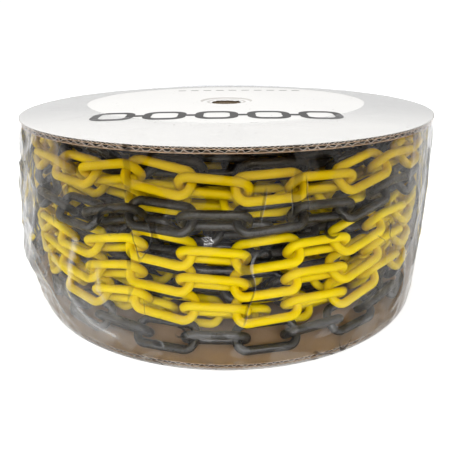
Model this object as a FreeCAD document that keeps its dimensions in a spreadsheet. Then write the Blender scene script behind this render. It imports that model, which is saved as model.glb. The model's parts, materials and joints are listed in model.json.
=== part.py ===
import FreeCAD, Part
import Sketcher

import math
import os

from FreeCAD import Placement, Rotation, Vector

# A shrink-wrapped reel of plastic barrier chain. Two double-wall corrugated discs are glued to
# the ends of a cardboard core, 25 m of yellow and black chain is wound between them in six
# layers, and a clear film sleeve is shrunk over the lot. Millimetres, +Z up, the origin at the
# middle of the underside. The front of the reel faces -Y and its left side -X.

PARTS_FOLDER = "parts"

# Driving dimensions, one spreadsheet row each.
SIZES = [
    ("flange_diameter", 336.0),     # both card discs
    ("reel_height", 149.0),         # outer face to outer face of the discs
    ("outer_liner", 0.35),          # white paper on the outside of each disc
    ("fine_flute", 1.25),           # height of the fine corrugation, next to the white paper
    ("middle_liner", 0.2),
    ("coarse_flute", 2.1),          # height of the coarse corrugation
    ("inner_liner", 0.3),           # brown paper that faces the chain
    ("fine_pitch", 3.25),
    ("coarse_pitch", 6.3),
    ("fine_sheet", 0.16),           # paper thickness of the two corrugated media
    ("coarse_sheet", 0.22),
    ("spindle_hole", 32.0),         # punched through each disc
    ("core_inside", 76.0),          # a three-inch paper tube
    ("core_wall", 3.5),
    ("film_sheet", 0.15),
    ("film_clearance", 0.1),        # disc to film
    ("film_belly", 6.0),            # how far the loose film swells at mid height
    ("film_lean", 3.0),             # and how far that swelling is pushed to the left
    ("film_top_opening", 240.0),    # the film leaves the middle of both discs bare
    ("film_opening_offset", 13.0),  # the top opening sits this far behind the middle
    ("film_bottom_opening", 210.0),
    ("link_length", 48.0),
    ("link_width", 23.5),
    ("link_wire", 6.0),
    ("link_corner", 7.0),           # centreline radius at a link's four corners
]
SIZE = dict(SIZES)
DISC_THICKNESS = (SIZE["outer_liner"] + SIZE["fine_flute"] + SIZE["middle_liner"]
                  + SIZE["coarse_flute"] + SIZE["inner_liner"])

doc = FreeCAD.newDocument("chain_reel")
sheet = doc.addObject("Spreadsheet::Sheet", "sizes")
for row, (alias, value) in enumerate(SIZES, start=1):
    sheet.set("A%d" % row, alias)
    sheet.set("B%d" % row, str(value))
    sheet.setAlias("B%d" % row, alias)
doc.recompute()

sub_parts = []


def name_piece(piece, name):
    """Label a sub-part with its own name, which also names its file."""
    piece.Label = name
    sub_parts.append(piece)
    return piece


def bind(item, **formulas):
    """Tie an object's properties to formulas of the spreadsheet's aliases."""
    for prop, formula in formulas.items():
        item.setExpression(prop.replace("__", "."), formula)


# ---------------------------------------------------------------- card discs and core

def ring(name, outer, inner, height, level):
    """A flat ring: two circles in one sketch, padded upwards from the ring's level."""
    body = doc.addObject("PartDesign::Body", name + "_body")
    sketch = body.newObject("Sketcher::SketchObject", name + "_circles")
    base_plane = [f for f in body.Origin.OriginFeatures if f.Role == "XY_Plane"][0]
    sketch.AttachmentSupport = [(base_plane, "")]
    sketch.MapMode = "FlatFace"
    for index, (edge, formula, diameter) in enumerate((("rim", outer, 60.0), ("bore", inner, 20.0))):
        sketch.addGeometry(Part.Circle(Vector(0, 0, 0), Vector(0, 0, 1), diameter / 2), False)
        sketch.addConstraint(Sketcher.Constraint("Coincident", index, 3, -1, 1))
        size = sketch.addConstraint(Sketcher.Constraint("Diameter", index, diameter))
        sketch.renameConstraint(size, edge)
        sketch.setExpression("Constraints." + edge, formula)
    pad = body.newObject("PartDesign::Pad", name + "_pad")
    pad.Profile = sketch
    bind(pad, Length=height)
    bind(body, Placement__Base__z=level)
    return name_piece(body, name)


def wave_face(width, pitch, height, paper):
    """The end view of a corrugated sheet: arcs that meet with no kink, offset both ways."""
    swing = (height - paper) / 2
    quarter = pitch / 4
    radius = (quarter ** 2 + swing ** 2) / (2 * swing)
    slope = math.asin(quarter / radius)
    halves = 2 * int(math.ceil(width / pitch))
    start = -halves * quarter

    def boundary(side):
        edges = []
        for index in range(halves):
            up = 1 if index % 2 == 0 else -1
            centre_x = start + (2 * index + 1) * quarter
            centre_z = up * (swing - radius)
            reach = radius + up * side * paper / 2
            points = []
            for angle in (-slope, 0.0, slope):
                points.append(Vector(centre_x + reach * math.sin(angle), 0,
                                     centre_z + up * reach * math.cos(angle)))
            edges.append(Part.Arc(*points).toShape())
        return edges

    upper = boundary(1)
    lower = boundary(-1)
    left = Part.LineSegment(upper[0].firstVertex().Point, lower[0].firstVertex().Point).toShape()
    right = Part.LineSegment(upper[-1].lastVertex().Point, lower[-1].lastVertex().Point).toShape()
    return Part.Face(Part.Wire(Part.__sortEdges__(upper + lower + [left, right])))


def corrugation(name, kind, level):
    """A corrugated medium cut round, its flutes running front to back."""
    width = SIZE["flange_diameter"]
    height = SIZE[kind + "_flute"]
    face = wave_face(width, SIZE[kind + "_pitch"], height, SIZE[kind + "_sheet"])
    board = doc.addObject("Part::Feature", name + "_board")
    board.Shape = face.extrude(Vector(0, width, 0))
    board.Placement = Placement(Vector(0, -width / 2, 0), Rotation())
    blank = doc.addObject("Part::Cylinder", name + "_blank")
    bind(blank, Radius="sizes.flange_diameter / 2", Height="sizes.%s_flute" % kind,
         Placement__Base__z="-sizes.%s_flute / 2" % kind)
    punch = doc.addObject("Part::Cylinder", name + "_punch")
    bind(punch, Radius="sizes.spindle_hole / 2", Height="sizes.%s_flute" % kind,
         Placement__Base__z="-sizes.%s_flute / 2" % kind)
    disc = doc.addObject("Part::Cut", name + "_disc")
    disc.Base = blank
    disc.Tool = punch
    medium = doc.addObject("Part::Common", name + "_medium")
    medium.Base = board
    medium.Tool = disc
    bind(medium, Placement__Base__z="%s + sizes.%s_flute / 2" % (level, kind))
    return name_piece(medium, name)


def card_disc(name, base, upwards):
    """One double-wall disc as its five papers, from the outer face to the chain side."""
    plies = ("outer_liner", "fine_flute", "middle_liner", "coarse_flute", "inner_liner")
    depth = "0"
    for ply in plies:
        thickness = "sizes." + ply
        if upwards:
            level = "%s + %s" % (base, depth)
        else:
            level = "%s - (%s) - %s" % (base, depth, thickness)
        if ply.endswith("flute"):
            corrugation(name + "_" + ply, ply.split("_")[0], level)
        else:
            ring(name + "_" + ply, "sizes.flange_diameter", "sizes.spindle_hole", thickness, level)
        depth += " + " + thickness
    return depth


disc_depth = card_disc("bottom_disc", "0", upwards=True)
card_disc("top_disc", "sizes.reel_height", upwards=False)
ring("core_tube", "sizes.core_inside + 2 * sizes.core_wall", "sizes.core_inside",
     "sizes.reel_height - 2 * (%s)" % disc_depth, disc_depth)


# ---------------------------------------------------------------- shrink film

def film_skin(name, offset):
    """A solid barrel: three circles lofted, the middle one swollen and pushed to the left."""
    rim = SIZE["flange_diameter"] / 2 + SIZE["film_clearance"] + offset
    lowest = -SIZE["film_clearance"] - offset
    highest = SIZE["reel_height"] + SIZE["film_clearance"] + offset
    belly = rim + SIZE["film_belly"]
    middle = (lowest + highest) / 2
    circles = []
    for radius, shift, level in ((rim, 0.0, lowest), (belly, SIZE["film_lean"], middle),
                                 (rim, 0.0, highest)):
        circles.append(Part.Wire(Part.Circle(Vector(-shift, 0, level), Vector(0, 0, 1),
                                             radius).toShape()))
    skin = doc.addObject("Part::Feature", name)
    skin.Shape = Part.makeLoft(circles, True, False)
    return skin


def film_sleeve():
    """The film: the space between two barrels, open in a circle on each disc."""
    outside = film_skin("film_outside", SIZE["film_sheet"])
    inside = film_skin("film_inside", 0.0)
    openings = []
    for side, level, offset in (("top", "sizes.reel_height * 7 / 8", "sizes.film_opening_offset"),
                                ("bottom", "-sizes.reel_height / 8", "0")):
        opening = doc.addObject("Part::Cylinder", "film_%s_opening" % side)
        bind(opening, Radius="sizes.film_%s_opening / 2" % side, Height="sizes.reel_height / 4",
             Placement__Base__y=offset, Placement__Base__z=level)
        openings.append(opening)
    removed = doc.addObject("Part::MultiFuse", "film_removed")
    removed.Shapes = [inside] + openings
    sleeve = doc.addObject("Part::Cut", "film_cut")
    sleeve.Base = outside
    sleeve.Tool = removed
    return name_piece(sleeve, "shrink_film")


film_sleeve()


# ---------------------------------------------------------------- one chain link

def link_master():
    """A closed link: four straight wires and four quarter bends, lying flat along X."""
    half_length = "(sizes.link_length - sizes.link_wire) / 2"
    half_width = "(sizes.link_width - sizes.link_wire) / 2"
    straight_x = half_length + " - sizes.link_corner"
    straight_y = half_width + " - sizes.link_corner"
    pieces = []
    for side in (1, -1):
        for along, reach, straight, turn in (("x", half_width, straight_x, Rotation(Vector(0, 1, 0), 90)),
                                             ("y", half_length, straight_y, Rotation(Vector(1, 0, 0), -90))):
            wire = doc.addObject("Part::Cylinder", "link_wire")
            wire.Placement = Placement(Vector(), turn)
            across = "y" if along == "x" else "x"
            bind(wire, Radius="sizes.link_wire / 2", Height="2 * (%s)" % straight)
            bind(wire, **{"Placement__Base__" + along: "-(%s)" % straight,
                          "Placement__Base__" + across: "%d * (%s)" % (side, reach)})
            pieces.append(wire)
    for quadrant, (side_x, side_y) in enumerate(((1, 1), (-1, 1), (-1, -1), (1, -1))):
        bend = doc.addObject("Part::Torus", "link_bend")
        bend.Angle3 = 90.0
        bend.Placement = Placement(Vector(), Rotation(Vector(0, 0, 1), 90 * quadrant))
        bind(bend, Radius1="sizes.link_corner", Radius2="sizes.link_wire / 2",
             Placement__Base__x="%d * (%s)" % (side_x, straight_x),
             Placement__Base__y="%d * (%s)" % (side_y, straight_y))
        pieces.append(bend)
    link = doc.addObject("Part::MultiFuse", "link_master")
    link.Shapes = pieces
    return link


master = link_master()
doc.recompute()
LINK = master.Shape


# ---------------------------------------------------------------- how the chain is wound

# The winding is followed from the free outer end inwards, and a place on it is given in turns.
# Whole turns fall at the back of the reel, quarters at its left, halves at the front.
TURNS_PER_LAYER = 6
LAYERS = 6
LINKS = 694                        # 25 m of chain at 36 mm from link to link, pulled straight
LINKS_PER_LENGTH = 28              # one colour runs for about a metre
FREE_END = 0.15                    # turns, a little way round from the back
OUTER_RADIUS = 153.6
OUTER_SLACK = 1.1                  # clearance between the outer layer and the next
LAYER_SLACK = 0.3
OUTER_PITCHES = [34.6, 34.3, 34.8, 34.5, 34.7, 34.1]   # link to link in each outer row, never tight
INNER_PITCH = 33.0
PITCH_TRIES = 12                   # a step along the winding is corrected this often
INNER_WANDER = 0.5                 # the inner rows rise and sink this far
INNER_WAVES = 3.3                  # as often as this in a turn
LAYER_CHANGE = 0.08                # turns taken, each side, to move from one layer to the next
BULGE = 3.5                        # the outer layer swells out at the left
SWIVEL = 45.0                      # each link lies turned this far, alternately each way
SWIVEL_WANDER = 5.0                # and is turned a few degrees more or less, never twice the same
SWIVEL_RHYTHM = 0.7
RIPPLES = [(3.2, 5.0, 0.5), (2.6, 11.0, 2.3), (0.5, 5.35, 0.0)]  # height, waves per turn, phase
BACK_RIPPLE = 0.25                 # the ripples keep this share of their height at the back

# Where the outer layer bulges, ripples and swivels: first turn, turns to grow, last turn, to fade.
BULGED = (1.0, 1.5, 5.2, 1.5)
RIPPLED = (0.9, 0.5, 5.9, 0.4)
SWIVELLED = (0.3, 0.4, 5.6, 0.5)

FLOOR = DISC_THICKNESS
CEILING = SIZE["reel_height"] - DISC_THICKNESS
CHAIN_HALF = ((SIZE["link_width"] - SIZE["link_wire"]) / 2 * math.sin(math.radians(SWIVEL))
              + SIZE["link_wire"] / 2)
LOWEST_ROW = FLOOR + CHAIN_HALF + 0.4
HIGHEST_ROW = CEILING - CHAIN_HALF - 0.4

# Height of the outer layer at every eighth of a turn, one row of numbers for each turn: back,
# back left, left, front left, front, front right, right, back right.
OUTER_HEIGHTS = [
    13.8, 13.9, 14.0, 14.2, 14.4, 16.5, 19.0, 27.0,
    38.4, 41.5, 38.0, 36.0, 38.0, 41.0, 43.0, 49.5,
    57.4, 60.4, 57.5, 54.8, 58.0, 60.5, 62.5, 68.4,
    76.4, 79.1, 76.6, 73.6, 77.8, 80.0, 82.0, 87.5,
    95.4, 97.8, 96.0, 92.8, 101.5, 103.0, 102.0, 106.5,
    115.1, 118.5, 123.0, 124.0, 122.5, 123.0, 124.0, 130.0,
    HIGHEST_ROW,
]
STATIONS = 8                       # heights given in one turn


def layer_radii():
    """Radius of each layer, outermost first: a link is a chord, so its ends need more room."""
    half_flat = SIZE["link_length"] / 2 - SIZE["link_wire"] / 2 - SIZE["link_corner"]
    radii = [OUTER_RADIUS]
    for index in range(LAYERS - 1):
        slack = OUTER_SLACK if index == 0 else LAYER_SLACK
        inner = radii[-1] - 2 * CHAIN_HALF - slack
        radii.append(inner - half_flat ** 2 / (2 * inner))
    return radii


RADII = layer_radii()


def ease(fraction):
    """0 to 1 with a soft start and stop."""
    fraction = min(1.0, max(0.0, fraction))
    return fraction * fraction * (3 - 2 * fraction)


def share(turns, span):
    """How fully something that grows and fades along the winding is there, 0 to 1."""
    start, growing, stop, fading = span
    return ease((turns - start) / growing) * ease((stop - turns) / fading)


def outer_height(turns):
    """A smooth curve through the outer layer's heights."""
    index = int(math.floor(STATIONS * turns))
    part = STATIONS * turns - index
    last = len(OUTER_HEIGHTS) - 1
    a, b, c, d = [OUTER_HEIGHTS[min(last, max(0, index + step))] for step in (-1, 0, 1, 2)]
    return 0.5 * (2 * b + (c - a) * part + (2 * a - 5 * b + 4 * c - d) * part ** 2
                  + (3 * b - a - 3 * c + d) * part ** 3)


def ripple(turns):
    """The outer rows lie loosely, so they wave up and down together as they go round."""
    angle = 2 * math.pi * turns
    frontness = BACK_RIPPLE + (1 - BACK_RIPPLE) * (1 - math.cos(angle)) / 2
    waves = sum(size * math.sin(count * angle + phase) for size, count, phase in RIPPLES)
    return share(turns, RIPPLED) * frontness * waves


def row_height(turns):
    """Height of the chain's middle: each layer climbs or sinks through all its turns."""
    if turns < TURNS_PER_LAYER - LAYER_CHANGE:
        return outer_height(turns)
    layer = int(turns // TURNS_PER_LAYER)
    part = turns - layer * TURNS_PER_LAYER - LAYER_CHANGE
    part = min(1.0, max(0.0, part / (TURNS_PER_LAYER - 2 * LAYER_CHANGE)))
    climb = part if layer % 2 == 0 else 1 - part
    wander = math.sin(INNER_WAVES * 2 * math.pi * turns + layer) * math.sin(math.pi * part)
    return LOWEST_ROW + (HIGHEST_ROW - LOWEST_ROW) * climb + INNER_WANDER * wander


def row_radius(turns):
    """Distance of the chain's middle from the axis, with the step between two layers."""
    layer = int(turns // TURNS_PER_LAYER)
    part = turns - layer * TURNS_PER_LAYER
    radius = RADII[layer]
    if layer > 0 and part < LAYER_CHANGE:
        moved = ease((part + LAYER_CHANGE) / (2 * LAYER_CHANGE))
        radius = RADII[layer - 1] + (RADII[layer] - RADII[layer - 1]) * moved
    if layer < LAYERS - 1 and part > TURNS_PER_LAYER - LAYER_CHANGE:
        moved = ease((part - TURNS_PER_LAYER + LAYER_CHANGE) / (2 * LAYER_CHANGE))
        radius = RADII[layer] + (RADII[layer + 1] - RADII[layer]) * moved
    if layer == 0:
        leftness = max(0.0, math.sin(2 * math.pi * turns)) ** 2
        radius += BULGE * leftness * share(turns, BULGED)
    return radius


def winding_point(turns):
    angle = 2 * math.pi * turns
    radius = row_radius(turns)
    return Vector(-radius * math.sin(angle), radius * math.cos(angle), row_height(turns))


def link_joints():
    """Walk along the winding and stop at every meeting point of two links."""
    turns = FREE_END
    joints = [(turns, winding_point(turns))]
    for _ in range(LINKS):
        here = joints[-1][1]
        pitch = OUTER_PITCHES[int(turns)] if turns < TURNS_PER_LAYER else INNER_PITCH
        step = pitch / (2 * math.pi * row_radius(turns))
        for _ in range(PITCH_TRIES):
            step *= pitch / here.distanceToPoint(winding_point(turns + step))
        turns += step
        joints.append((turns, winding_point(turns)))
    return [(turns, point + Vector(0, 0, ripple(turns))) for turns, point in joints]


def link_placement(index, joints):
    """Lay link number index along the line between its two joints, swivelled about it."""
    turns, start = joints[index]
    end = joints[index + 1][1]
    along = (end - start).normalize()
    middle = (start + end) * 0.5
    outwards = Vector(middle.x, middle.y, 0).normalize()
    outwards = (outwards - along * outwards.dot(along)).normalize()
    upwards = along.cross(outwards)
    swivel = SWIVEL if index % 2 == 0 else -SWIVEL
    swivel += SWIVEL_WANDER * math.sin(SWIVEL_RHYTHM * index) * share(turns, SWIVELLED)
    swivel = math.radians(swivel)
    across = outwards * math.cos(swivel) + upwards * math.sin(swivel)
    return Placement(middle, Rotation(along, across, along.cross(across), "XYZ"))


JOINTS = link_joints()


def chain_piece(name, first, last):
    """A run of separate closed links, one solid each, that hang in one another."""
    links = []
    for index in range(first, last):
        link = LINK.copy()
        link.Placement = link_placement(index, JOINTS)
        links.append(link)
    piece = doc.addObject("Part::Feature", name)
    piece.Shape = links[0] if len(links) == 1 else Part.makeCompound(links)
    return name_piece(piece, name)


# Colour of every length, from the free end inwards: Y yellow, B black.
COLOURS = "BYYYBY" + "BYBBYBYBYBYBYBYBYBY"
COLOUR_NAMES = {"Y": "yellow", "B": "black"}
FREE_LINKS = 3                     # links at the free end that can still be lifted


def wind_chain():
    for index in range(FREE_LINKS):
        chain_piece("end_link_%d" % (index + 1), index, index + 1)
    for number, letter in enumerate(COLOURS):
        first = max(FREE_LINKS, number * LINKS_PER_LENGTH)
        last = min(LINKS, (number + 1) * LINKS_PER_LENGTH)
        chain_piece("chain_length_%02d_%s" % (number + 1, COLOUR_NAMES[letter]), first, last)


wind_chain()
doc.recompute()


# ---------------------------------------------------------------- checks and files

def check_document():
    for item in doc.Objects:
        if "Invalid" in item.State or "Error" in item.State:
            raise RuntimeError("%s failed: %s" % (item.Label, item.State))
    for piece in sub_parts:
        if piece.Shape.isNull() or not piece.Shape.isValid():
            raise RuntimeError(piece.Label + " has no valid shape")
        if not piece.Shape.Solids:
            raise RuntimeError(piece.Label + " holds no solid")


def write_parts():
    os.makedirs(PARTS_FOLDER, exist_ok=True)
    for piece in sub_parts:
        piece.Shape.exportStep(os.path.join(PARTS_FOLDER, piece.Label + ".step"))


check_document()
write_parts()
for name, index in (("end_link_1", 1), ("end_link_2", 2), ("end_link_3", 3)):
    print(name, "hinge at", [round(v, 2) for v in JOINTS[index][1]])
print(len(sub_parts), "nodes,", sum(len(piece.Shape.Solids) for piece in sub_parts), "solids")
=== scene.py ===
import json
import math

import bmesh
import bpy
import numpy as np
from mathutils import Matrix, Vector, noise


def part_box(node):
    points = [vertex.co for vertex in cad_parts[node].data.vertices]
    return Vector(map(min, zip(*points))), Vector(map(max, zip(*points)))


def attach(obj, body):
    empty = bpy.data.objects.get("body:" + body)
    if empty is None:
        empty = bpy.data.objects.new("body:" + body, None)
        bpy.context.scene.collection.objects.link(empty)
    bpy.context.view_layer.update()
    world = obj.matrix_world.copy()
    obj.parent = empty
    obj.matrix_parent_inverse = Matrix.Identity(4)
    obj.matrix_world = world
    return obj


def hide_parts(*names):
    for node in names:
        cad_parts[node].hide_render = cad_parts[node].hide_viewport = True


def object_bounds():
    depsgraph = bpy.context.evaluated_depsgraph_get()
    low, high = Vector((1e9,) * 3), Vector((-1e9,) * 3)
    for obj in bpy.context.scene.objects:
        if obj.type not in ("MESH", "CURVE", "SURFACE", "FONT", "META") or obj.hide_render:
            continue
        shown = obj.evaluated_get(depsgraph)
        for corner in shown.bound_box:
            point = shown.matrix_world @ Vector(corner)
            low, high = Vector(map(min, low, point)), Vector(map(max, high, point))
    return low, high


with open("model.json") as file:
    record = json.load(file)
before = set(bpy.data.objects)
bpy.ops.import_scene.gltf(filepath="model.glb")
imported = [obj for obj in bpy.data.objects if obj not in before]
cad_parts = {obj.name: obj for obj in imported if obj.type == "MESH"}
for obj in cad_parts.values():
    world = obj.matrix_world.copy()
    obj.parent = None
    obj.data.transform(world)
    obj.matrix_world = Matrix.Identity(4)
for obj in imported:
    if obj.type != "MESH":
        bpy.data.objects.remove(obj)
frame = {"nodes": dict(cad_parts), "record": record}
cad_low, cad_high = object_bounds()

MM = 0.001
nodes = frame["nodes"]

# Angles are azimuths round the reel: 0 is the front (-Y) and +90 degrees the right side (+X).
LEFT = math.radians(-90)

# ---------------------------------------------------------------- sizes and places

# From the frame: the top disc's liner and the spindle hole.
liner_low, liner_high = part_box("top_disc_outer_liner")
RADIUS = (liner_high.x - liner_low.x) / 2
TOP = liner_high.z
LINER = liner_high.z - liner_low.z
HOLE = frame["record"]["mounts"][0]["dims"]["r_mm"] * MM

# What use has done to the disc.
DOME = 4.0 * MM                 # its middle stands proud of its rim
LIP_RADIUS = 21.5 * MM          # the white paper is pressed in round the hole from here on
TORN_RADIUS = 11.6 * MM         # and is torn into shreds that reach about this far in


# ---------------------------------------------------------------- helpers

def add_object(name, data):
    """Put a mesh, light or camera into the scene."""
    obj = bpy.data.objects.new(name, data)
    bpy.context.scene.collection.objects.link(obj)
    return obj


def new_object(name, verts, faces, smooth=True):
    mesh = bpy.data.meshes.new(name)
    mesh.from_pydata([tuple(v) for v in verts], [], faces)
    mesh.validate()
    mesh.update()
    mesh.polygons.foreach_set("use_smooth", [smooth] * len(mesh.polygons))
    return add_object(name, mesh)


def wear(obj, *materials):
    """Give an object its materials."""
    obj.data.materials.clear()
    for material in materials:
        obj.data.materials.append(material)


def polar(angle, radius, height):
    """The point at an azimuth, a distance from the axis and a height."""
    return Vector((radius * math.sin(angle), -radius * math.cos(angle), height))


def snoise(x, y, z=0.0):
    """Smooth noise between about -1 and 1."""
    return noise.noise(Vector((x, y, z)))


def smoothstep(low, high, value):
    t = min(1.0, max(0.0, (value - low) / (high - low)))
    return t * t * (3 - 2 * t)


def bell(value, centre, width):
    """1 at the centre, falling off smoothly on both sides."""
    return math.exp(-((value - centre) / width) ** 2)


def dome(radius):
    """How far the top disc stands proud, because the shrunk film pulls its rim down."""
    return DOME * (1 - min(1.0, radius / RADIUS) ** 2.5)


def curve_through(points, value):
    """A smooth curve through (place, value) pairs, level at every one of them."""
    if value <= points[0][0]:
        return points[0][1]
    for (x0, y0), (x1, y1) in zip(points, points[1:]):
        if value <= x1:
            return y0 + (y1 - y0) * smoothstep(x0, x1, value)
    return points[-1][1]


def ring_grid(rows, columns):
    """Faces of a grid of rows of vertices, each row closed on itself."""
    faces = []
    for row in range(rows - 1):
        for column in range(columns):
            after = (column + 1) % columns
            faces.append((row * columns + column, (row + 1) * columns + column,
                          (row + 1) * columns + after, row * columns + after))
    return faces


# ---------------------------------------------------------------- materials

class Shader:
    """Makes and links the nodes of one material."""

    def __init__(self, name):
        self.material = bpy.data.materials.new(name)
        self.material.use_nodes = True
        self.tree = self.material.node_tree
        self.tree.nodes.clear()
        self.out = self.tree.nodes.new("ShaderNodeOutputMaterial")

    def node(self, kind, inputs=None, **settings):
        made = self.tree.nodes.new("ShaderNode" + kind)
        for key, value in settings.items():
            setattr(made, key, value)
        for key, value in (inputs or {}).items():
            if isinstance(value, bpy.types.NodeSocket):
                self.tree.links.new(value, made.inputs[key])
            else:
                made.inputs[key].default_value = value
        return made

    def place(self):
        return self.node("NewGeometry").outputs["Position"]

    def flat_place(self):
        """The place without its height."""
        flat = self.node("VectorMath", {0: self.place(), 1: (1.0, 1.0, 0.0)}, operation="MULTIPLY")
        return flat.outputs[0]

    def noise(self, scale, detail=4.0, roughness=0.55, stretch=(1, 1, 1), distortion=0.0, shift=0.0):
        mapped = self.node("Mapping", {"Vector": self.place(), "Scale": stretch,
                                       "Location": (shift, shift, shift)})
        made = self.node("TexNoise", {"Vector": mapped.outputs[0], "Scale": scale, "Detail": detail,
                                      "Roughness": roughness, "Distortion": distortion})
        return made.outputs["Fac"]

    def ramp(self, value, stops):
        made = self.node("ValToRGB", {"Fac": value})
        ramp = made.color_ramp
        while len(ramp.elements) < len(stops):
            ramp.elements.new(0.5)
        for element, (position, colour) in zip(ramp.elements, stops):
            element.position = position
            element.color = (*colour, 1.0)
        return made.outputs["Color"]

    def grey(self, value, low, high, start=0.3, stop=0.7):
        made = self.node("MapRange", {"Value": value, "From Min": start, "From Max": stop,
                                      "To Min": low, "To Max": high}, interpolation_type="SMOOTHSTEP")
        return made.outputs["Result"]

    def calc(self, operation, first, second=0.0):
        made = self.node("Math", {0: first, 1: second}, operation=operation)
        return made.outputs[0]

    def line(self, value, centre, width):
        """1 where a value passes the centre, 0 a little away from it."""
        gap = self.calc("ABSOLUTE", self.calc("SUBTRACT", value, centre))
        return self.grey(gap, 1.0, 0.0, width * 0.4, width)

    def mix(self, factor, first, second):
        made = self.node("Mix", {"Factor": factor}, data_type="RGBA")
        for socket, value in ((made.inputs[6], first), (made.inputs[7], second)):
            if isinstance(value, bpy.types.NodeSocket):
                self.tree.links.new(value, socket)
            else:
                socket.default_value = (*value, 1.0)
        return made.outputs[2]

    def bump(self, height, distance, strength=1.0, normal=None):
        inputs = {"Height": height, "Distance": distance, "Strength": strength}
        if normal is not None:
            inputs["Normal"] = normal
        return self.node("Bump", inputs).outputs["Normal"]

    def blend(self, factor, first, second):
        made = self.node("MixShader", {"Fac": factor})
        self.tree.links.new(first, made.inputs[1])
        self.tree.links.new(second, made.inputs[2])
        return made.outputs[0]

    def finish(self, shader):
        self.tree.links.new(shader, self.out.inputs["Surface"])
        return self.material

    def surface(self, **inputs):
        named = {key.replace("_", " "): value for key, value in inputs.items()}
        return self.finish(self.node("BsdfPrincipled", named).outputs[0])


def chain_plastic(name, dark, light, roughness, subsurface, gloss):
    """Moulded polyethylene: flow marks in the colour, a satin skin with scuffs and fine grain."""
    s = Shader(name)
    flow = s.noise(45.0, 3.0, stretch=(1, 1, 2.0), distortion=0.6)
    speck = s.noise(1500.0, 2.0, 0.6)
    colour = s.ramp(flow, [(0.3, dark), (0.7, light)])
    colour = s.mix(s.grey(speck, 0.0, 0.25, 0.62, 0.75), colour, tuple(0.55 * c for c in dark))
    scuff = s.noise(700.0, 5.0, 0.7)
    grain = s.noise(4200.0, 2.0, 0.5)
    waves = s.noise(240.0, 2.0)
    normal = s.bump(grain, 0.00002, 0.5, s.bump(waves, 0.00030, 0.7))
    return s.surface(Base_Color=colour, Roughness=s.grey(scuff, roughness - 0.07, roughness + 0.12),
                     Normal=normal, Subsurface_Weight=subsurface,
                     Subsurface_Radius=(0.004, 0.003, 0.001), Subsurface_Scale=0.5,
                     Specular_IOR_Level=gloss, IOR=1.51)


def paper(name, base, fleck, fibre_scale, roughness=0.85, stain=0.25, painted_shade_behind_rim=False):
    """Card: long fibres, small flecks and slow stains; a board given painted shade is darkened behind its
    rim.
    """
    s = Shader(name)
    fibre = s.noise(fibre_scale, 6.0, 0.7, stretch=(1, 0.3, 1))
    cloud = s.noise(14.0, 3.0)
    tint = s.mix(s.grey(fibre, 0.0, 0.6, 0.4, 0.75), base, fleck)
    tint = s.mix(s.grey(cloud, 0.0, stain, 0.35, 0.7), tint, tuple(0.8 * c for c in base))
    if painted_shade_behind_rim:
        # Painted shade: from about 2 mm behind the rim inwards the board is darkened almost to black,
        # standing for the shade in the flutes; near the hole it is left light.
        radius = s.node("VectorMath", {0: s.flat_place()}, operation="LENGTH").outputs["Value"]
        depth = s.grey(radius, 0.93, 0.0, RADIUS - 2.2 * MM, RADIUS - 0.4 * MM)
        depth = s.calc("MULTIPLY", depth, s.grey(radius, 0.0, 1.0, HOLE + 1 * MM, HOLE + 8 * MM))
        tint = s.mix(depth, tint, (0.0, 0.0, 0.0))
    normal = s.bump(fibre, 0.00012, 0.5, s.bump(cloud, 0.0012, 0.2))
    return s.surface(Base_Color=tint, Roughness=roughness, Normal=normal, Specular_IOR_Level=0.25)


def white_liner():
    """Bleached test liner: clean, with faint flute lines pressed through, specks and dents, and painted
    shade in rings at the pressed-in lip and at the hole's edge.
    """
    s = Shader("white_test_liner")
    fibre = s.noise(800.0, 6.0, 0.7, stretch=(1, 0.4, 1))
    speck = s.noise(420.0, 1.0, 0.3)
    cloud = s.noise(11.0, 3.0, shift=3.0)
    flutes = s.node("TexWave", {"Vector": s.place(), "Scale": 48.0, "Distortion": 0.4, "Detail": 1.0},
                    bands_direction="X").outputs["Fac"]
    tint = s.mix(s.grey(fibre, 0.0, 0.5), (0.72, 0.71, 0.693), (0.67, 0.66, 0.642))
    tint = s.mix(s.grey(cloud, 0.0, 0.4), tint, (0.66, 0.653, 0.638))
    tint = s.mix(s.grey(speck, 0.0, 0.75, 0.76, 0.80), tint, (0.25, 0.22, 0.20))
    radius = s.node("VectorMath", {0: s.flat_place()}, operation="LENGTH").outputs["Value"]
    # Painted shade: grey rings where the paper dips in round the hole and at the hole's edge.
    painted_ring_shade = s.calc("MAXIMUM", s.line(radius, LIP_RADIUS, 1.3 * MM), s.line(radius, HOLE, 1.6 * MM))
    tint = s.mix(s.calc("MULTIPLY", painted_ring_shade, 0.55), tint, (0.33, 0.30, 0.27))
    normal = s.bump(flutes, 0.00002, 0.35, s.bump(cloud, 0.0025, 0.35, s.bump(fibre, 0.00008, 0.4)))
    return s.surface(Base_Color=tint, Roughness=0.62, Normal=normal, Specular_IOR_Level=0.3)


def film_inner_face():
    """The chain side of the film adds nothing but a trace of absorption."""
    s = Shader("shrink_film_inner")
    return s.finish(s.node("BsdfTransparent", {"Color": (0.995, 0.995, 0.995, 1.0)}).outputs[0])


# Marks on the film's side, each at degrees round and mm up.
SHADE_ANGLES = (-18, 15)        # painted shade: soft dark bands, near the top only
CRINKLE = (-2.5, 94, 4.5)       # a patch of painted glints, thin white lines, with its radius in mm
# Small loops where the film doubles up, painted dark as their shade and dark reflection, each with its
# radius in mm.
FILM_CURLS = [(-23, 101, 8.0), (9, 84, 3.2), (24, 97, 7.0), (31, 71, 5.0), (-9, 30, 4.0), (52, 62, 6.0)]


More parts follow.
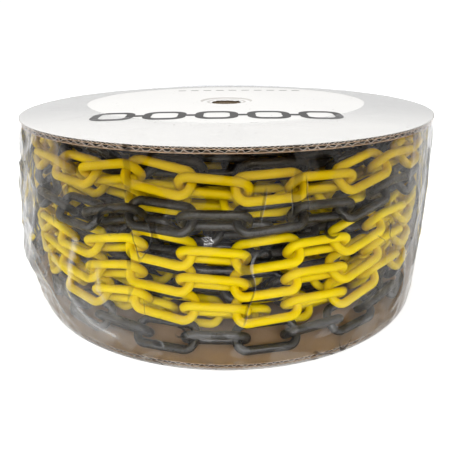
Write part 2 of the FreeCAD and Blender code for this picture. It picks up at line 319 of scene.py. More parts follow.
class FilmShader(Shader):
    """The film's outer skin, with the places on it by which its marks are laid out."""

    def __init__(self):
        super().__init__("shrink_film_outer")
        crinkle = self.noise(150.0, 4.0, 0.55, stretch=(1, 1, 0.5), distortion=1.6)
        self.swell = self.noise(38.0, 3.0, 0.5, stretch=(1, 1, 0.6), distortion=1.4, shift=1.3)
        self.normal = self.bump(crinkle, 0.00025, 0.45, self.bump(self.swell, 0.0018, 0.5))
        split = self.node("SeparateXYZ", {"Vector": self.place()})
        self.height = split.outputs["Z"]
        self.front = self.calc("DIVIDE", split.outputs["Y"], -RADIUS)
        forward = self.calc("MULTIPLY", split.outputs["Y"], -1.0)
        turned = self.calc("ARCTAN2", split.outputs["X"], forward)
        self.turned = self.calc("ADD", turned, self.calc("MULTIPLY", self.swell, 0.05))
        self.on_top = self.grey(self.height, 0.0, 1.0, TOP - 0.6 * MM, TOP)
        self.on_side = self.calc("SUBTRACT", 1.0, self.on_top)

    def gap_to(self, degrees, level):
        """Distance over the film's side from one of its points."""
        across = self.calc("SUBTRACT", self.turned, math.radians(degrees))
        across = self.calc("MULTIPLY", across, RADIUS)
        up = self.calc("SUBTRACT", self.height, level * MM)
        squares = self.calc("ADD", self.calc("POWER", across, 2.0), self.calc("POWER", up, 2.0))
        return self.calc("SQRT", squares)

    def veil(self):
        """Milky patches, strongest low down, and a little more where the film swells."""
        patches = self.noise(24.0, 1.2, 0.4, stretch=(1, 1, 1.5), distortion=1.1, shift=5.0)
        veil = self.calc("MULTIPLY", self.grey(patches, 0.0, 1.0, 0.50, 0.506),
                         self.grey(self.height, 0.055, 0.013, 0.15 * TOP, 0.35 * TOP))
        return self.calc("ADD", veil, self.grey(self.swell, 0.0, 0.013, 0.58, 0.85))

    def creases(self):
        """Painted shade and painted highlight of the small creases: a dark line with a light line beside
        it, in patches.
        """
        folds = self.noise(26.0, 0.4, 0.35, stretch=(1, 1, 0.6), distortion=1.5, shift=9.0)
        gate = self.grey(self.noise(30.0, 0.0, shift=2.0), 0.0, 1.0, 0.60, 0.70)
        gate = self.calc("MULTIPLY", gate, self.on_side)
        dark = self.calc("MULTIPLY", self.line(folds, 0.500, 0.0240), gate)
        light = self.calc("MULTIPLY", self.line(folds, 0.516, 0.0050), gate)
        return dark, light

    def bands(self):
        """Painted shade: soft dark bands that fade out downwards."""
        lines = [self.line(self.turned, math.radians(angle), 0.020) for angle in SHADE_ANGLES]
        painted_band_shade = self.calc("MULTIPLY", self.calc("ADD", *lines),
                         self.grey(self.height, 0.0, 0.55, 0.60 * TOP, 0.80 * TOP))
        return self.calc("MULTIPLY", painted_band_shade, self.on_side)

    def curls(self):
        """Broken rings where the film doubles up, painted near black as their shade and dark reflection.
        """
        rings = 0.0
        for degrees, level, reach in FILM_CURLS:
            ring = self.line(self.gap_to(degrees, level), reach * MM, 1.3 * MM)
            rings = self.calc("ADD", rings, ring)
        gate = self.grey(self.noise(75.0, 1.0, shift=6.0), 0.0, 0.85, 0.43, 0.52)
        return self.calc("MULTIPLY", rings, gate)

    def crinkle_glints(self):
        """The painted glints of the crinkled patch: thin white lines made milky."""
        degrees, level, reach = CRINKLE
        glint_lines = self.line(self.noise(420.0, 1.0, 0.4, distortion=0.8), 0.5, 0.045)
        patch = self.grey(self.gap_to(degrees, level), 0.55, 0.0, 0.5 * reach * MM, reach * MM)
        return self.calc("MULTIPLY", glint_lines, patch)

    def tint(self, dark):
        """What the film takes out of the light, more where it is edge on, plus painted shade: under the
        disc, over the top's sides and back, and in bands, creases and curls.
        """
        facing = self.node("LayerWeight", {"Blend": 0.5}).outputs["Facing"]
        edge_on = self.grey(facing, 0.0, 1.0, 0.45, 0.95)
        # Painted shade under the top disc, from 0.6 of the height up to 4 mm below the top.
        shade = self.calc("MULTIPLY", self.grey(self.height, 0.0, 1.0, 0.60 * TOP, 0.88 * TOP),
                          self.grey(self.height, 1.0, 0.0, TOP - 6 * MM, TOP - 4 * MM))
        # Painted shade on the top: over its sides and back, and darker still at its back edge.
        top_sides_back_shade = self.calc("MULTIPLY", self.on_top, self.grey(self.front, 1.0, 0.0, 0.1, 0.8))
        top_back_edge_shade = self.calc("MULTIPLY", self.on_top, self.grey(self.front, 1.0, 0.0, -0.97, -0.85))
        tint = self.mix(edge_on, (0.985, 0.986, 0.988), (0.66, 0.65, 0.63))
        for factor, colour in ((shade, (0.78, 0.74, 0.66)), (self.on_top, (1.0, 1.0, 1.0)),
                               (top_sides_back_shade, (0.87, 0.873, 0.88)), (top_back_edge_shade, (0.72, 0.725, 0.74)),
                               (self.bands(), (0.30, 0.27, 0.24)), (dark, (0.42, 0.40, 0.37)),
                               (self.curls(), (0.05, 0.045, 0.04))):
            tint = self.mix(factor, tint, colour)
        return tint


def film_outer_face():
    """Shrink film: clear and glossy, with milky patches and long folds, and painted shade and highlights
    in its creases, bands, curls, crinkles and fold crests.
    """
    s = FilmShader()
    dark, light = s.creases()
    clear = s.node("BsdfTransparent", {"Color": s.tint(dark)})
    milk = s.node("BsdfDiffuse", {"Color": (0.88, 0.88, 0.88, 1.0), "Normal": s.normal})
    gloss = s.node("BsdfGlossy", {"Color": (1.0, 1.0, 1.0, 1.0), "Roughness": 0.08,
                                  "Normal": s.normal})
    # Painted highlights: the fold crests, the creases' light line and the crinkle glints are made milky,
    # standing for the light they catch; the veil is the film's own haze.
    crest = s.node("Attribute", attribute_name="fold").outputs["Fac"]
    haze_and_painted_highlights = s.calc("ADD", s.calc("ADD", s.veil(), s.crinkle_glints()), s.calc("MULTIPLY", light, 0.12))
    haze_and_painted_highlights = s.calc("ADD", haze_and_painted_highlights, s.calc("MULTIPLY", crest, 0.40))
    body = s.blend(haze_and_painted_highlights, clear.outputs[0], milk.outputs[0])
    fresnel = s.node("Fresnel", {"IOR": 1.38, "Normal": s.normal})
    mirror = s.calc("MAXIMUM", s.calc("SUBTRACT", fresnel.outputs[0], 0.025), 0.0)
    mirror = s.calc("MULTIPLY", mirror, s.grey(s.on_top, 1.0, 0.3, 0.0, 1.0))
    return s.finish(s.blend(mirror, body, gloss.outputs[0]))


BROWN = (0.60, 0.42, 0.275)
BROWN_FLECK = (0.48, 0.33, 0.21)

YELLOW = chain_plastic("yellow_polyethylene", (0.82, 0.61, 0.0), (0.93, 0.72, 0.0), 0.36, 0.05, 0.12)
BLACK = chain_plastic("black_polyethylene", (0.020, 0.019, 0.017), (0.040, 0.037, 0.033), 0.30, 0.0, 0.55)
WHITE_PAPER = white_liner()
KRAFT = paper("brown_kraft_liner", BROWN, BROWN_FLECK, 700.0)
# These two papers carry painted shade behind the disc's rim.
KRAFT_INSIDE_SHADED = paper("brown_kraft_inside_painted_shade", BROWN, BROWN_FLECK, 700.0, painted_shade_behind_rim=True)
FLUTING_SHADED = paper("grey_brown_fluting_painted_shade", (0.70, 0.61, 0.52), (0.52, 0.43, 0.35), 900.0, painted_shade_behind_rim=True)
CORE_BOARD = paper("wound_core_board", (0.42, 0.32, 0.22), (0.31, 0.23, 0.155), 300.0)
PRINT_INK = paper("dark_print_ink", (0.035, 0.033, 0.032), (0.09, 0.085, 0.08), 1600.0, 0.6, 0.1)
FILM_OUTER = film_outer_face()
FILM_INNER = film_inner_face()


def dress_cad_nodes():
    """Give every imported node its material; the modelled pieces replace some of them later."""
    for name, obj in nodes.items():
        if name.startswith("chain") or name.startswith("end"):
            wear(obj, YELLOW if name.endswith("yellow") else BLACK)
        elif name == "core_tube":
            wear(obj, CORE_BOARD)
        elif name.endswith("outer_liner"):
            wear(obj, WHITE_PAPER)
        elif name.endswith("flute"):
            wear(obj, FLUTING_SHADED)
        elif name.endswith("middle_liner"):
            wear(obj, KRAFT_INSIDE_SHADED)
        else:
            wear(obj, KRAFT)


# ---------------------------------------------------------------- shrink film

FILM_COLUMNS = 480
FILM_TOP_OPENING = 120 * MM     # radius of the top opening
FILM_OPENING_BACK = 13 * MM     # how far it sits behind the middle
FILM_BOTTOM_OPENING = 105 * MM  # radius of the bottom opening
FILM_GAP = 0.1 * MM
FILM_SHEET = 0.15 * MM
FILM_ROUND = 0.12 * MM          # radius of its bend over both rims
FILM_RUCK = 0.45 * MM           # height of the small rucks on the top disc
FILM_BACK_LIFT = 1.8 * MM       # it stands loose over the back of the top disc
HAZE_ANGLE = math.radians(-48)  # the middle of a milky, finely crumpled stretch, partly painted highlight
HAZE_LEVEL = 26                 # and its height in mm

# How far the film stands out from the discs, as (mm up, mm out): it sags out at the left.
SIDE_BULGE = [(0, 0.0), (10, 1.5), (40, 3.0), (90, 4.0), (125, 3.0), (149, 0.0)]
LEFT_BULGE = [(0, 0.0), (4, 1.6), (13, 3.5), (23, 5.6), (32, 7.6), (44, 11.0), (60, 8.8), (78, 7.6),
              (95, 7.0), (112, 4.0), (122, 2.7), (149, 0.0)]

# Long folds in the slack film: crest height and half width in mm, then (degrees, mm up) points.
FILM_FOLDS = [
    (1.8, 2.6, [(-34, 84), (-37, 62), (-38, 46), (-36, 32), (-32, 23), (-26, 18)]),
    (1.6, 2.2, [(-52, 52), (-47, 40), (-45, 27), (-40, 14)]),
    (1.3, 2.4, [(-49, 97), (-51, 78), (-55, 60)]),
    (1.2, 2.4, [(-60, 120), (-63, 96), (-66, 70)]),
    (1.0, 2.0, [(-28, 70), (-29, 52), (-24, 36)]),
    (1.5, 2.4, [(48, 60), (50, 40), (50, 28), (46, 16)]),
    (1.2, 2.2, [(60, 128), (63, 100), (62, 70), (58, 40)]),
    (0.9, 1.8, [(52, 104), (55, 84), (53, 66)]),
    (1.2, 2.4, [(118, 130), (115, 108), (114, 86), (116, 62), (118, 40), (117, 18)]),
    (1.2, 2.4, [(170, 128), (173, 104), (174, 80), (172, 54), (168, 30)]),
    (1.2, 2.4, [(-128, 124), (-131, 100), (-132, 76), (-130, 50), (-125, 24)]),
]


def fold_crest(angle, level):
    """How near the closest crest of a long fold is, 0 to 1, and how far it lifts the film in mm."""
    best, tallest = 0.0, 0.0
    for tall, width, path in FILM_FOLDS:
        for (deg0, up0), (deg1, up1) in zip(path, path[1:]):
            x0 = math.remainder(math.radians(deg0) - angle, 2 * math.pi) * RADIUS / MM
            x1 = x0 + math.radians(deg1 - deg0) * RADIUS / MM
            if min(x0, x1) > 4 * width or max(x0, x1) < -4 * width:
                continue
            run, rise = x1 - x0, up1 - up0
            along = (-x0 * run + (level - up0) * rise) / (run * run + rise * rise)
            along = min(1.0, max(0.0, along))
            gap = math.hypot(x0 + along * run, up0 + along * rise - level)
            near = math.exp(-(gap / width) ** 2)
            if near * tall > tallest:
                best, tallest = near, near * tall
    return best, tallest


def opening_reach(angle):
    """Distance from the axis to the edge of the film's top opening, which sits off centre."""
    along = -FILM_OPENING_BACK * math.cos(angle)
    reach = along + math.sqrt(along ** 2 - FILM_OPENING_BACK ** 2 + FILM_TOP_OPENING ** 2)
    uneven = 1.5 * MM * snoise(2.5 * math.cos(angle), 2.5 * math.sin(angle), 4.0)
    return reach + 1.2 * MM * math.sin(3 * angle + 1) + uneven


def film_bulge(angle, height):
    """How far the slack film stands out from the discs."""
    leftness = bell(math.remainder(angle - LEFT, 2 * math.pi), math.radians(10), math.radians(48))
    level = height / MM
    side = curve_through(SIDE_BULGE, level) * (0.75 + 0.25 * math.cos(2 * angle + 1.0))
    return (side + (curve_through(LEFT_BULGE, level) - side) * leftness) * MM


def film_wrinkle(angle, height):
    """Tight puckers near both rims, long slanting folds, and facets where the film is slack."""
    x, y = math.cos(angle), math.sin(angle)
    level = height / MM
    edge = math.exp(-min(level, TOP / MM - level) / 22.0)
    leftness = bell(math.remainder(angle - LEFT, 2 * math.pi), math.radians(25), math.radians(55))
    slack = 0.45 + 0.9 * leftness
    pucker = snoise(13 * x, 13 * y, level / 60.0)
    fine_pucker = snoise(34 * x, 34 * y, level / 40.0)
    slant = snoise(6.5 * x, 6.5 * y, level / 26.0 + 1.5 * x)
    folds = 1 - 2.2 * abs(snoise(4.2 * x + 3, 4.2 * y, level / 38.0 + 7))
    folds = max(0.0, folds) ** 3
    crumple = snoise(24 * x, 24 * y, level / 9.0) * 0.16
    swell = snoise(3.1 * x, 3.1 * y, level / 45.0 + 2)
    height_mm = (edge * (0.9 * pucker + 0.5 * fine_pucker) + slack * (0.55 * slant + 1.1 * folds)
                 + crumple + 0.8 * swell)
    hold = smoothstep(0.0, 7.0, level) * smoothstep(0.0, 7.0, TOP / MM - level)
    return height_mm * hold * MM


def film_haze(angle, height):
    """Slack, finely crumpled film low down at the front left is made milkier, partly as its haze and
    partly as a painted highlight.
    """
    near = bell(math.remainder(angle - HAZE_ANGLE, 2 * math.pi), 0.0, math.radians(26))
    patchy = 0.65 + 0.7 * snoise(9 * math.cos(angle), 9 * math.sin(angle), height * 22)
    return 0.50 * near * bell(height / MM, HAZE_LEVEL, 22) * max(0.0, patchy)


def film_profile():
    """Rows from the top opening, over the rim, down the side and under to the bottom opening."""
    rows = [("top", share) for share in np.linspace(0.0, 0.985, 22)]
    rows += [("corner", share) for share in (0.0, 0.3, 0.6, 1.0)]
    rows += [("side", share) for share in np.linspace(0.006, 0.994, 108)]
    rows += [("foot", share) for share in (0.0, 0.4, 0.7, 1.0)]
    rows += [("bottom", share) for share in np.linspace(0.02, 1.0, 8)]
    return rows


def film_point(kind, share, angle, inset):
    """One point of the film, moved inwards by inset for the inner face."""
    rim = RADIUS + FILM_GAP + FILM_SHEET - inset
    roof = TOP + FILM_GAP + FILM_SHEET - inset
    base = -FILM_GAP - FILM_SHEET + inset
    turn = share * math.pi / 2
    if kind == "top":
        start = opening_reach(angle)
        radius = start + (RADIUS - start) * share
        x, y = math.cos(angle), math.sin(angle)
        ruck = abs(snoise(9 * x, 9 * y, radius * 30)) + 0.5 * abs(snoise(26 * x, 26 * y, radius * 60))
        lift = FILM_RUCK * ruck * math.sin(math.pi * min(1.0, share + 0.12)) ** 0.7
        lift += FILM_BACK_LIFT * smoothstep(0.1, 0.9, -x) * bell(share, 0.80, 0.25)
        return polar(angle, radius, roof + dome(radius) + max(0.0, lift))
    if kind == "corner":
        return polar(angle, rim - FILM_ROUND * (1 - math.sin(turn)),
                     roof - FILM_ROUND * (1 - math.cos(turn)))
    if kind == "side":
        height = TOP * (1 - share)
        crest = fold_crest(angle, height / MM)[1] * MM
        radius = rim + film_bulge(angle, height) + film_wrinkle(angle, height) + crest
        return polar(angle, max(radius, rim), height)
    if kind == "foot":
        return polar(angle, rim - FILM_ROUND * (1 - math.cos(turn)),
                     base + FILM_ROUND * (1 - math.sin(turn)))
    return polar(angle, RADIUS + (FILM_BOTTOM_OPENING - RADIUS) * share, base)


def mark_milk_and_fold_highlights(film):
    """Store how milky the film is: a painted highlight on its folds' crests, in broken lines, and where
    it is crumpled a haze that is partly painted highlight.
    """
    crests = film.data.attributes.new("fold", "FLOAT", "POINT")
    for vertex, value in zip(film.data.vertices, crests.data):
        place = vertex.co
        if math.hypot(place.x, place.y) > RADIUS and MM < place.z < TOP - MM:
            angle = math.atan2(place.x, -place.y)
            near, raised = fold_crest(angle, place.z / MM)
            broken = min(1.0, max(0.0, 0.6 + 0.9 * snoise(6 * angle, place.z * 45)))
            crest = smoothstep(0.35, 1.0, near) * raised * 0.42 * broken
            value.value = crest + film_haze(angle, place.z)


def make_film():
    """The sleeve as an outer and an inner skin, joined at the edges of its two openings."""
    rows = film_profile()
    verts = []
    for inset in (0.0, FILM_SHEET):
        for kind, share in rows:
            for column in range(FILM_COLUMNS):
                angle = -math.pi + 2 * math.pi * column / FILM_COLUMNS
                verts.append(film_point(kind, share, angle, inset))
    outer = ring_grid(len(rows), FILM_COLUMNS)
    skip = len(rows) * FILM_COLUMNS
    inner = [tuple(skip + index for index in reversed(face)) for face in outer]
    rims = []
    last_row = (len(rows) - 1) * FILM_COLUMNS
    for column in range(FILM_COLUMNS):
        after = (column + 1) % FILM_COLUMNS
        rims.append((column, after, skip + after, skip + column))
        start, stop = last_row + column, last_row + after
        rims.append((stop, start, skip + start, skip + stop))
    film = new_object("shrink_film_sleeve", verts, outer + inner + rims)
    wear(film, FILM_OUTER, FILM_INNER)
    indices = [0] * len(outer) + [1] * len(inner) + [0] * len(rims)
    film.data.polygons.foreach_set("material_index", indices)
    mark_milk_and_fold_highlights(film)
    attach(film, "reel")
    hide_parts("shrink_film")


# ---------------------------------------------------------------- card

def liner_rings():
    """Radii of the liner's rows of points, close together at the rim and round the hole."""
    rim = np.linspace(RADIUS, RADIUS - 4 * MM, 5)
    plain = np.linspace(RADIUS - 12 * MM, 26 * MM, 22)
    pressed = np.linspace(24 * MM, TORN_RADIUS, 22)
    return [*rim, *plain, *pressed]


def make_top_liner():
    """White liner: slightly domed, nicked at the rim, pressed in round the hole and torn in it."""
    columns = 360
    rings = liner_rings()
    verts = []
    for radius in rings:
        for column in range(columns):
            angle = 2 * math.pi * column / columns
            x, y = math.cos(angle), math.sin(angle)
            reach = radius
            if radius == rings[0]:
                reach -= 0.25 * MM * abs(snoise(40 * x, 40 * y))
            drop = 0.06 * MM * (1 + snoise(reach * x * 45, reach * y * 45))
            lip = smoothstep(LIP_RADIUS + 1.2 * MM, LIP_RADIUS - 1.2 * MM, radius)
            drop += (1.0 + 0.3 * snoise(2 * x, 2 * y)) * MM * lip
            inside = smoothstep(HOLE, TORN_RADIUS, radius)
            if inside > 0:
                tear = 0.6 + 0.4 * snoise(5.5 * x, 5.5 * y, 3) + 0.25 * snoise(17 * x, 17 * y)
                drop += (0.5 + 0.6 * snoise(3 * x, 3 * y, 8)) * MM * inside
                reach = HOLE + (radius - HOLE) * (0.25 + 0.75 * tear)
            verts.append(polar(angle, reach, TOP + dome(reach) - drop))
    liner = new_object("top_white_liner", verts, ring_grid(len(rings), columns))
    flip_to_face_up(liner)
    solidify(liner, LINER * 0.9)
    wear(liner, WHITE_PAPER)
    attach(liner, "reel")
    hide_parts("top_disc_outer_liner")


def make_hole_edge():
    """The board's cut edge inside the spindle hole: frayed paper, pushed in with the liner."""
    columns, levels = 240, 14
    lowest = TOP + dome(HOLE) - 5.0 * MM
    tall = 3.6 * MM
    verts = []
    for row in range(levels):
        height = lowest + tall * row / (levels - 1)
        for column in range(columns):
            angle = 2 * math.pi * column / columns
            x, y = math.cos(angle), math.sin(angle)
            frayed = 0.5 * snoise(22 * x, 22 * y, height * 700)
            frayed += 0.4 * snoise(60 * x, 60 * y, height * 1600)
            verts.append(polar(angle, HOLE + (0.5 + frayed) * MM, height))
    edge = new_object("spindle_hole_frayed_edge", verts, ring_grid(levels, columns))
    solidify(edge, 0.3 * MM, 1.0)
    wear(edge, CORE_BOARD)
    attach(edge, "reel")


def flip_to_face_up(obj):
    """Turn a level sheet's faces up, so that its thickness goes down from it."""
    if obj.data.polygons[0].normal.z < 0:
        obj.data.flip_normals()


def solidify(obj, thickness, offset=-1.0):
    """Give a sheet its thickness, behind its faces unless the offset says otherwise."""
    modifier = obj.modifiers.new("sheet", "SOLIDIFY")
    modifier.thickness = thickness
    modifier.offset = offset
    modifier.use_even_offset = False


FLUTE_STEPS = 10                # points along one wave
FLUTE_INSET = 0.15 * MM         # the waves at both ends stop short of the disc's edge
FRAY = 0.9 * MM                 # how far the cut edge is worn back
BRUISE_REACH = 2.2 * MM         # how far in the flutes are crushed

# The corrugated papers: name, length of a wave and thickness of the paper.
FLUTES = [("fine_flute", 3.25 * MM, 0.16 * MM), ("coarse_flute", 6.3 * MM, 0.22 * MM)]

# Rows of points along a flute: shares of the way from the rim (0) to the hole or middle (1).
FLUTE_SHARES = [0.0, 0.004, 0.010, 0.022, 0.05, 0.2, 0.5, 0.8, 0.96, 1.0]


def flute_level(x, side, inward, pitch, seed):
    """Height of a fluted paper, -1 to 1: a wave that is pushed sideways and crushed at the rim."""
    cut = math.exp(-inward / BRUISE_REACH)
    bruise = 0.5 + 0.5 * snoise(x * 70, side * 3.0, seed + 5)
    shift = cut * pitch * (0.42 * snoise(x * 330, side * 5.0, seed + 9)
                           + 0.30 * snoise(x * 90, side * 5.0, seed))
    height = math.sin(2 * math.pi * (x + shift) / pitch)
    squash = 1 - cut * 0.80 * bruise * bruise
    sag = cut * 0.60 * bruise * snoise(x * 260, side * 9.0, seed + 2)
    return max(-1.0, min(1.0, height * squash + sag))


def make_flute(node, pitch, sheet, seed):
    """A corrugated medium with flutes from front to back, bruised and torn where it was cut."""
    low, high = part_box(node)
    middle = (low.z + high.z) / 2
    swing = (high.z - low.z - sheet) / 2
    count = int(2 * RADIUS / pitch * FLUTE_STEPS)
    rows = len(FLUTE_SHARES)
    verts, faces = [], []
    for side in (-1, 1):
        first = len(verts)
        for column in range(count + 1):
            x = (-1 + 2 * column / count) * (RADIUS - FLUTE_INSET)
            rim = math.sqrt(RADIUS ** 2 - x ** 2)
            bore = math.sqrt(max(0.0, HOLE ** 2 - x ** 2))
            frayed = FRAY * abs(snoise(x * 700, side * 7.0, seed)) ** 0.8
            for share in FLUTE_SHARES:
                y = rim - frayed * (1 - share) - (rim - frayed - bore) * share
                level = flute_level(x, side, rim - y, pitch, seed)
                verts.append((x, side * y, middle + swing * level))
        for column in range(count):
            for row in range(rows - 1):
                corner = first + column * rows + row
                faces.append((corner, corner + 1, corner + rows + 1, corner + rows))
    medium = new_object(node + "_bruised", verts, faces)
    weld(medium)
    solidify(medium, sheet, 0.0)
    wear(medium, FLUTING_SHADED)
    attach(medium, "reel")
    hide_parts(node)


def weld(obj):
    """Join the two halves of a sheet along the line where they meet."""
    mesh = bmesh.new()
    mesh.from_mesh(obj.data)
    bmesh.ops.remove_doubles(mesh, verts=mesh.verts, dist=0.002 * MM)
    bmesh.ops.recalc_face_normals(mesh, faces=mesh.faces)
    mesh.to_mesh(obj.data)
    mesh.free()


# ---------------------------------------------------------------- print on the white liner

def outline(width, depth, corner, steps=7):
    """Points of a rounded rectangle, counterclockwise."""
    points = []
    for quadrant, (sx, sy) in enumerate(((1, 1), (-1, 1), (-1, -1), (1, -1))):
        for step in range(steps):
            angle = math.pi / 2 * (quadrant + step / (steps - 1))
            points.append((sx * (width / 2 - corner) + corner * math.cos(angle),
                           sy * (depth / 2 - corner) + corner * math.sin(angle)))
    return points


INK = 0.02 * MM                 # the ink's thickness, and its gap over the paper

LINK_MARK = (31 * MM, 32 * MM, 11 * MM)     # width, depth and corner radius of the outline
BAR_MARK = (19 * MM, 6.5 * MM, 3.2 * MM)    # the bar that joins two of them
DASH_MARK = (8 * MM, 4 * MM, 1 * MM)


def print_mark(verts, faces, centre, outer, inner=None):
    """A flat inked shape, or a band between two outlines with the same number of points."""
    count = len(outer)
    first = len(verts)
    inner_points = inner or [(0.0, 0.0)] * count
    for lift in (INK, 2 * INK):
        for x, y in outer + inner_points:
            x, y = centre[0] + x, centre[1] + y
            verts.append((x, y, TOP + dome(math.hypot(x, y)) + lift))
    upper = first + 2 * count
    for index in range(count):
        after = (index + 1) % count
        faces.append((upper + index, upper + after, upper + count + after, upper + count + index))
        faces.append((first + after, first + index, first + count + index, first + count + after))
        faces.append((first + index, first + after, upper + after, upper + index))
        if inner:
            faces.append((first + count + after, first + count + index,
                          upper + count + index, upper + count + after))


def make_print():
    """Plain marks: a row of chain links before the hole and a row of dashes behind it."""
    verts, faces = [], []
    width, depth, corner = LINK_MARK
    line, spacing, left, row = 6.0 * MM, 37.5 * MM, -82 * MM, -77 * MM
    links, dashes = 5, 10
    for index in range(links):
        x = left + index * spacing
        print_mark(verts, faces, (x, row), outline(width, depth, corner),
                   outline(width - 2 * line, depth - 2 * line, corner - line))
        if index < links - 1:
            print_mark(verts, faces, (x + spacing / 2, row), outline(*BAR_MARK))
    spacing, left, row = 13 * MM, -45.5 * MM, 88 * MM
    for index in range(dashes):
        print_mark(verts, faces, (left + index * spacing, row), outline(*DASH_MARK))
    marks = new_object("printed_chain_marks", verts, faces, smooth=False)
    weld(marks)
    wear(marks, PRINT_INK)
    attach(marks, "reel")


# ---------------------------------------------------------------- chain links

LINK_AROUND = 88                # points round the link's outline
LINK_SECTION = 18               # points round its wire
LINK_CORNER = 7 * MM            # radius of the wire's middle line at the corners
RIDGE = 0.10 * MM               # height of the mould's parting ridge
NUB = 0.55 * MM                 # height of the clipped gate
VARIANTS = 4                    # links with differently worn skins
MOULDED_LENGTHS = 13            # the outer layers; the lengths further in stay CAD links


def islands(mesh, points):
    """Label the separate solids of a mesh, whose faces may not share their edges' vertices."""
    _, welded = np.unique(np.round(points / (0.01 * MM)).astype(np.int64), axis=0, return_inverse=True)
    welded = welded.ravel()
    edges = np.empty(len(mesh.edges) * 2, dtype=np.int64)
    mesh.edges.foreach_get("vertices", edges)
    first, second = welded[edges[0::2]], welded[edges[1::2]]
    labels = np.arange(welded.max() + 1)
    while True:
        lowest = np.minimum(labels[first], labels[second])
        fresh = labels.copy()
        np.minimum.at(fresh, first, lowest)
        np.minimum.at(fresh, second, lowest)
        np.minimum.at(fresh, labels[first], lowest)
        np.minimum.at(fresh, labels[second], lowest)
        fresh = fresh[fresh]
        if np.array_equal(fresh, labels):
            return labels[welded]
        labels = fresh


def link_frames(node):
    """Centre, axes and size of every link in a CAD chain node."""
    mesh = nodes[node].data
    points = np.empty(len(mesh.vertices) * 3)
    mesh.vertices.foreach_get("co", points)
    points = points.reshape(-1, 3)
    labels = islands(mesh, points)
    frames = []
    for label in np.unique(labels):
        own = np.unique(np.round(points[labels == label] / (0.001 * MM)), axis=0) * 0.001 * MM
        _, axes = np.linalg.eigh(np.cov((own - own.mean(axis=0)).T))
        axes = axes[:, ::-1].T
        for axis in axes[:2]:
            if axis[np.argmax(np.abs(axis))] < 0:
                axis *= -1
        axes[2] = np.cross(axes[0], axes[1])
        local = own @ axes.T
        middle = (local.max(axis=0) + local.min(axis=0)) / 2
        size = local.max(axis=0) - local.min(axis=0)
        frames.append((middle @ axes, axes, size))
    return frames


def link_mesh_points(size, seed):
    """A moulded link in its own frame: a round wire with a parting ridge and a clipped gate."""
    length, width, wire = [float(extent) for extent in size]
    half_x, half_y = length / 2 - wire / 2, width / 2 - wire / 2
    straight_x, straight_y = 2 * (half_x - LINK_CORNER), 2 * (half_y - LINK_CORNER)
    bend = math.pi / 2 * LINK_CORNER
    total = 2 * (straight_x + straight_y) + 4 * bend
    points = []
    for around in range(LINK_AROUND):
        rest = total * around / LINK_AROUND
        along, heading = Vector((half_x, -straight_y / 2)), math.pi / 2
        for run, turning in ((straight_y, False), (bend, True), (straight_x, False), (bend, True)) * 2:
            step = min(rest, run)
            if turning:
                hub = along + LINK_CORNER * Vector((-math.sin(heading), math.cos(heading)))
                heading += step / LINK_CORNER
                along = hub - LINK_CORNER * Vector((-math.sin(heading), math.cos(heading)))
            else:
                along = along + step * Vector((math.cos(heading), math.sin(heading)))
            rest -= step
            if rest <= 1e-9:
                break
        outward = Vector((math.sin(heading), -math.cos(heading)))
        gate = bell(along.x / MM, 6.0, 0.9) * (1 if along.y > 0 else 0)
        for section in range(LINK_SECTION):
            turn = 2 * math.pi * section / LINK_SECTION
            reach = wire / 2 - RIDGE * 0.5
            reach += RIDGE * bell(math.remainder(turn, math.pi), 0.0, 0.22)
            if math.cos(turn) > 0:
                reach += NUB * gate * bell(math.remainder(turn, 2 * math.pi), 0.0, 0.5)
            reach += 0.06 * MM * snoise(along.x * 260 + seed, along.y * 260, turn)
            spot = along + outward * (reach * math.cos(turn))
            points.append((spot.x, spot.y, reach * math.sin(turn)))
    return np.array(points)


def link_faces():
    """The four-sided faces of one link, whose wire closes on itself both ways."""
    faces = []
    for around in range(LINK_AROUND):
        after = (around + 1) % LINK_AROUND
        for section in range(LINK_SECTION):
            beside = (section + 1) % LINK_SECTION
            faces.append((around * LINK_SECTION + section, after * LINK_SECTION + section,
                          after * LINK_SECTION + beside, around * LINK_SECTION + beside))
    return np.array(faces)


def mesh_from_arrays(name, verts, quads):
    """A smooth object from large arrays of points and four-sided faces."""
    mesh = bpy.data.meshes.new(name)
    mesh.vertices.add(len(verts))
    mesh.vertices.foreach_set("co", verts.ravel())
    mesh.loops.add(quads.size)
    mesh.loops.foreach_set("vertex_index", quads.ravel())
    mesh.polygons.add(len(quads))
    mesh.polygons.foreach_set("loop_start", np.arange(len(quads)) * 4)
    mesh.update(calc_edges=True)
    mesh.validate()
    mesh.polygons.foreach_set("use_smooth", [True] * len(quads))
    return add_object(name, mesh)


link_shapes = []                # the variants, made from the size of the first CAD link
link_quads = link_faces()


def make_chain_run(node, material, body):
    """The moulded links that stand for one CAD length of chain, each where the CAD link is."""
    verts, quads = [], []
    for number, (centre, axes, size) in enumerate(link_frames(node)):
        if not link_shapes:
            link_shapes.extend(link_mesh_points(size, seed) for seed in range(VARIANTS))
        shape = link_shapes[number % VARIANTS]
        quads.append(link_quads + len(verts) * len(shape))
        verts.append(centre + shape @ axes)
    run = mesh_from_arrays(node + "_moulded", np.concatenate(verts), np.concatenate(quads))
    wear(run, material)
    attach(run, body)
    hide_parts(node)


def make_chain():
    """The outer layers, which show, get moulded links; the hidden layers stay CAD links."""
    for name in sorted(nodes):
        if name.startswith("end_link"):
            make_chain_run(name, BLACK, "free_link_" + name[-1])
        elif name.startswith("chain_length") and int(name.split("_")[2]) <= MOULDED_LENGTHS:
            colour = name.split("_")[3]
            make_chain_run(name, YELLOW if colour == "yellow" else BLACK, "reel")


# ---------------------------------------------------------------- floor, light and camera

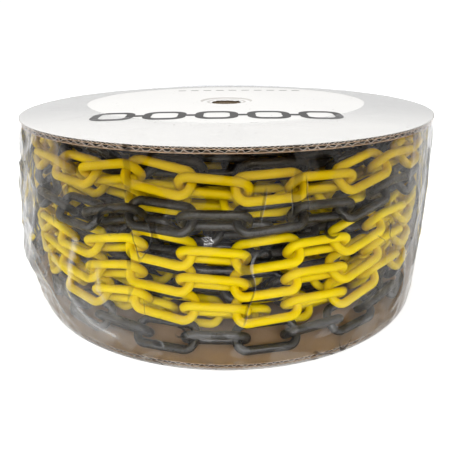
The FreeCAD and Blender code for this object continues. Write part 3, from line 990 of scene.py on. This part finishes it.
# White soft boxes: name, power in W, width and height in m, place, and the point each faces.
LIGHTS = [
    ("key", 6.5, (1.0, 0.7), (-0.55, -0.55, 1.4), (0, 0, 0.1)),
    ("front", 21.0, (1.4, 0.6), (0.1, -1.9, 0.95), (0, 0, 0.05)),
    ("left_strip", 3.5, (0.25, 1.0), (-1.3, -0.7, 0.6), (0, 0, 0.07)),
    ("right_strip", 2.0, (0.25, 1.0), (1.4, -0.4, 0.6), (0, 0, 0.07)),
    ("back", 2.0, (1.4, 0.5), (0.1, 1.3, 1.0), (0, 0, 0.1)),
]
FLOOR_HALF = 6.0                # m


def area_light(name, energy, size, place, target):
    data = bpy.data.lights.new(name, "AREA")
    data.energy = energy
    data.shape = "RECTANGLE"
    data.size, data.size_y = size
    lamp = add_object(name, data)
    lamp.location = place
    lamp.rotation_euler = (Vector(target) - Vector(place)).to_track_quat("-Z", "Y").to_euler()


def make_world():
    """White all round, but its light is weaker from the front, where the room was darker."""
    world = bpy.data.worlds.new("studio")
    world.use_nodes = True
    tree = world.node_tree
    background = tree.nodes["Background"]
    direction = tree.nodes.new("ShaderNodeTexCoord").outputs["Generated"]
    split = tree.nodes.new("ShaderNodeSeparateXYZ")
    light = tree.nodes.new("ShaderNodeMapRange")
    light.interpolation_type = "SMOOTHSTEP"
    for key, value in (("From Min", -0.95), ("From Max", 0.3), ("To Min", 0.35), ("To Max", 1.06)):
        light.inputs[key].default_value = value
    strength = tree.nodes.new("ShaderNodeMath")
    strength.operation = "MAXIMUM"
    seen_directly = tree.nodes.new("ShaderNodeLightPath").outputs["Is Camera Ray"]
    tree.links.new(direction, split.inputs[0])
    tree.links.new(split.outputs["Y"], light.inputs["Value"])
    tree.links.new(light.outputs["Result"], strength.inputs[0])
    tree.links.new(seen_directly, strength.inputs[1])
    tree.links.new(strength.outputs[0], background.inputs["Strength"])
    background.inputs["Color"].default_value = (1.0, 1.0, 1.0, 1.0)
    bpy.context.scene.world = world


def make_stage():
    """A pale floor that glows more further out, so that it meets the white background unseen."""
    corners = [(x * FLOOR_HALF, y * FLOOR_HALF, 0) for x, y in ((-1, -1), (1, -1), (1, 1), (-1, 1))]
    floor = new_object("floor", corners, [(0, 1, 2, 3)])
    floor.location.z = cad_low.z - 0.3 * MM
    s = Shader("floor_paint_and_glow")
    distance = s.node("VectorMath", {0: s.place()}, operation="LENGTH").outputs["Value"]
    # Painted light: the floor glows, least near the reel, and its glow also lights the reel's lower
    # sides.
    glow = s.grey(distance, 0.28, 1.0, 0.30, 1.6)
    wear(floor, s.surface(Base_Color=(0.90, 0.90, 0.90, 1.0), Roughness=0.9,
                          Emission_Color=(1.0, 1.0, 1.0, 1.0), Emission_Strength=glow))
    make_world()
    for light in LIGHTS:
        area_light(*light)
    bpy.context.scene.view_settings.view_transform = "Standard"


def make_camera():
    """The photograph's viewpoint: distance and height in disc radii, pitch and roll in degrees."""
    distance, height, pitch, roll = 2.579, 0.343, 21.39, -0.39
    data = bpy.data.cameras.new("camera")
    data.sensor_width = 36.0
    data.lens = 39.04
    data.shift_x = -0.0048
    data.clip_start = 0.01
    data.dof.use_dof = False
    camera = add_object("camera", data)
    camera.location = (0, -distance * RADIUS, TOP + height * RADIUS)
    tilt = Matrix.Rotation(math.radians(90 - pitch), 4, "X")
    tilt = tilt @ Matrix.Rotation(math.radians(roll), 4, "Z")
    camera.rotation_mode = "QUATERNION"
    camera.rotation_quaternion = tilt.to_quaternion()
    bpy.context.scene.camera = camera


# ---------------------------------------------------------------- everything, in order

dress_cad_nodes()
make_top_liner()
make_hole_edge()
for disc, seed in (("top_disc", 1), ("bottom_disc", 40)):
    for number, (flute, pitch, sheet) in enumerate(FLUTES):
        make_flute(disc + "_" + flute, pitch, sheet, seed + 20 * number)
make_print()
make_chain()
make_film()
make_stage()
make_camera()
